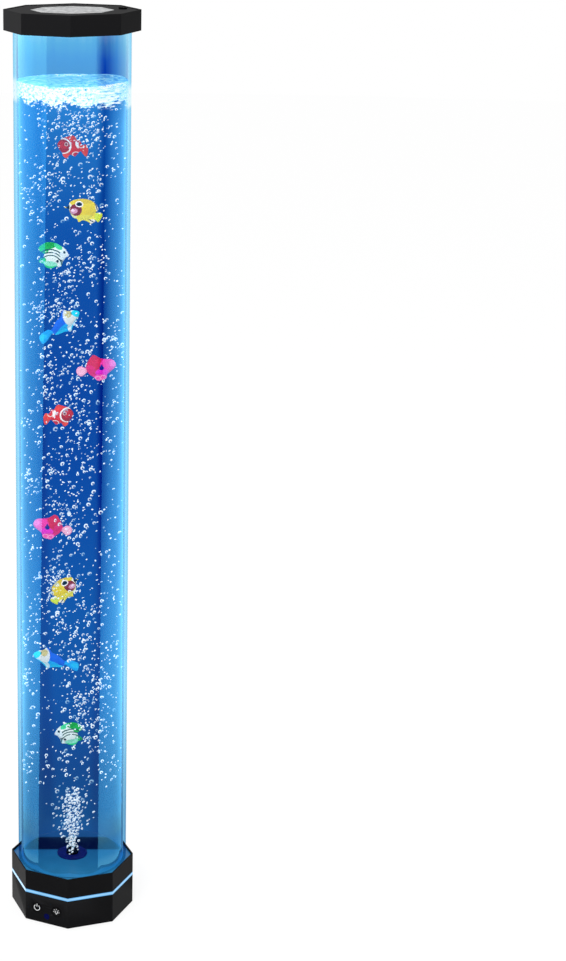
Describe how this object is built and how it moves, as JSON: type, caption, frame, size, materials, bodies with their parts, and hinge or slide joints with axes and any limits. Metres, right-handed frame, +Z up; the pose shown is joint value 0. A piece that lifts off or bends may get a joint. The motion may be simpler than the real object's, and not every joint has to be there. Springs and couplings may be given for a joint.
{
  "type": "bubble tube floor lamp",
  "caption": "Free-standing clear tube of water with floating fish, lit from an octagonal base that holds an air pump, under a lift-off octagonal cap.",
  "frame": {"origin": "centre of the lamp on the floor, under the tube's axis, at the bottom of the feet", "axes": "+Z up along the tube, buttons on the -Y face, power inlet on the +Y face"},
  "size_m": [0.1638, 0.1638, 1.2416],
  "materials": {
    "black_abs": "moulded, fine texture",
    "light_guide": "moulded translucent acrylic, lit from inside",
    "rubber": "moulded, matt",
    "steel_screw": "zinc plated",
    "button_abs": "moulded, satin",
    "switch_plastic": "moulded",
    "circuit_board": "glass-epoxy board with green solder mask",
    "white_board": "board with white solder mask",
    "window_acrylic": "dark blue dyed acrylic, polished",
    "chip_resin": "moulded resin",
    "black_resin": "moulded epoxy",
    "capacitor_can": "sleeved can",
    "white_nylon": "moulded nylon",
    "nickel": "nickel plated",
    "iron_core": "stacked sheet",
    "copper_coil": "wound enamelled wire",
    "magnet": "sintered",
    "silicone_hose": "extruded silicone",
    "lead_pvc": "extruded PVC",
    "clear_acrylic": "extruded, polished",
    "floor_acrylic": "cast acrylic sheet, polished, lit from below",
    "blue_silicone": "moulded",
    "black_nylon": "moulded",
    "water": "still surface under a layer of foam",
    "silver_plate": "anodised sheet, brushed",
    "foam_gasket": "closed cell foam",
    "red_fish": "moulded PVC, printed",
    "yellow_fish": "moulded PVC, printed",
    "green_fish": "moulded PVC, printed",
    "blue_fish": "moulded PVC, printed",
    "pink_fish": "moulded PVC, printed"
  },
  "bodies": {
    "lamp": {"base_lower_shell": "black_abs", "base_upper_shell": "black_abs", "light_band": "light_guide", "bottom_cover": "black_abs", "rubber_feet": "rubber", "cover_screws": "steel_screw", "case_screws": "steel_screw", "tact_switches": "switch_plastic", "button_board": "circuit_board", "receiver_window": "window_acrylic", "receiver": "black_resin", "control_board": "circuit_board", "board_screws": "steel_screw", "capacitors": "capacitor_can", "driver_chips": "black_resin", "board_plugs": "white_nylon", "power_inlet": "black_nylon", "inlet_nut": "nickel", "light_board": "white_board", "water_lights": "chip_resin", "band_lights": "chip_resin", "pump_mounts": "rubber", "pump_tray": "white_nylon", "pump_core": "iron_core", "pump_coil": "copper_coil", "pivot_pin": "nickel", "pump_bellows": "rubber", "valve_box": "white_nylon", "lower_hose": "silicone_hose", "check_valve": "white_nylon", "upper_hose": "silicone_hose", "wiring": "lead_pvc", "floor_plate": "floor_acrylic", "nozzle": "black_nylon", "nozzle_seal": "blue_silicone", "nozzle_nut": "black_nylon", "tube": "clear_acrylic", "water": "water"},
    "power_button": {"power_button": "button_abs", "power_plunger": "white_nylon"},
    "light_button": {"light_button": "button_abs", "light_plunger": "white_nylon"},
    "pump_arm": {"pump_arm": "white_nylon", "pump_magnet": "magnet"},
    "cap": {"cap": "black_abs", "cap_plate": "silver_plate", "cap_gasket": "foam_gasket"},
    "vent_plug": {"vent_plug": "rubber"},
    "red_fish_1": {"red_fish_1": "red_fish"},
    "red_fish_2": {"red_fish_2": "red_fish"},
    "yellow_fish_1": {"yellow_fish_1": "yellow_fish"},
    "yellow_fish_2": {"yellow_fish_2": "yellow_fish"},
    "green_fish_1": {"green_fish_1": "green_fish"},
    "green_fish_2": {"green_fish_2": "green_fish"},
    "blue_fish_1": {"blue_fish_1": "blue_fish"},
    "blue_fish_2": {"blue_fish_2": "blue_fish"},
    "pink_fish_1": {"pink_fish_1": "pink_fish"},
    "pink_fish_2": {"pink_fish_2": "pink_fish"}
  },
  "joints": [
    {"name": "cap_lift", "type": "slide", "parent": "lamp", "child": "cap", "axis": [0, 0, 1], "range_m": [0, 0.1]},
    {"name": "vent_plug_pull", "type": "slide", "parent": "cap", "child": "vent_plug", "axis": [0, 0, 1], "range_m": [0, 0.012]},
    {"name": "power_button_press", "type": "slide", "parent": "lamp", "child": "power_button", "axis": [0, 1, 0], "range_m": [0, 0.0008], "stiffness_N_per_m": 1500, "springref_m": -0.0006},
    {"name": "light_button_press", "type": "slide", "parent": "lamp", "child": "light_button", "axis": [0, 1, 0], "range_m": [0, 0.0008], "stiffness_N_per_m": 1500, "springref_m": -0.0006},
    {"name": "pump_arm_swing", "type": "hinge", "parent": "lamp", "child": "pump_arm", "pos_m": [-0.028, -0.03, 0.0319], "axis": [0, 1, 0], "range_deg": [-2, 2], "stiffness_Nm_per_rad": 6, "deforming": ["pump_bellows"]},
    {"name": "red_fish_1_float", "type": "slide", "parent": "lamp", "child": "red_fish_1", "axis": [0, 0, 1], "range_m": [-0.958, 0.051], "deforming": ["water"]},
    {"name": "red_fish_2_float", "type": "slide", "parent": "lamp", "child": "red_fish_2", "axis": [0, 0, 1], "range_m": [-0.604, 0.405]},
    {"name": "yellow_fish_1_float", "type": "slide", "parent": "lamp", "child": "yellow_fish_1", "axis": [0, 0, 1], "range_m": [-0.889, 0.118]},
    {"name": "yellow_fish_2_float", "type": "slide", "parent": "lamp", "child": "yellow_fish_2", "axis": [0, 0, 1], "range_m": [-0.348, 0.651]},
    {"name": "green_fish_1_float", "type": "slide", "parent": "lamp", "child": "green_fish_1", "axis": [0, 0, 1], "range_m": [-0.823, 0.182]},
    {"name": "green_fish_2_float", "type": "slide", "parent": "lamp", "child": "green_fish_2", "axis": [0, 0, 1], "range_m": [-0.134, 0.87]},
    {"name": "blue_fish_1_float", "type": "slide", "parent": "lamp", "child": "blue_fish_1", "axis": [0, 0, 1], "range_m": [-0.72, 0.274]},
    {"name": "blue_fish_2_float", "type": "slide", "parent": "lamp", "child": "blue_fish_2", "axis": [0, 0, 1], "range_m": [-0.275, 0.73]},
    {"name": "pink_fish_1_float", "type": "slide", "parent": "lamp", "child": "pink_fish_1", "axis": [0, 0, 1], "range_m": [-0.678, 0.327]},
    {"name": "pink_fish_2_float", "type": "slide", "parent": "lamp", "child": "pink_fish_2", "axis": [0, 0, 1], "range_m": [-0.456, 0.549]}
  ]
}
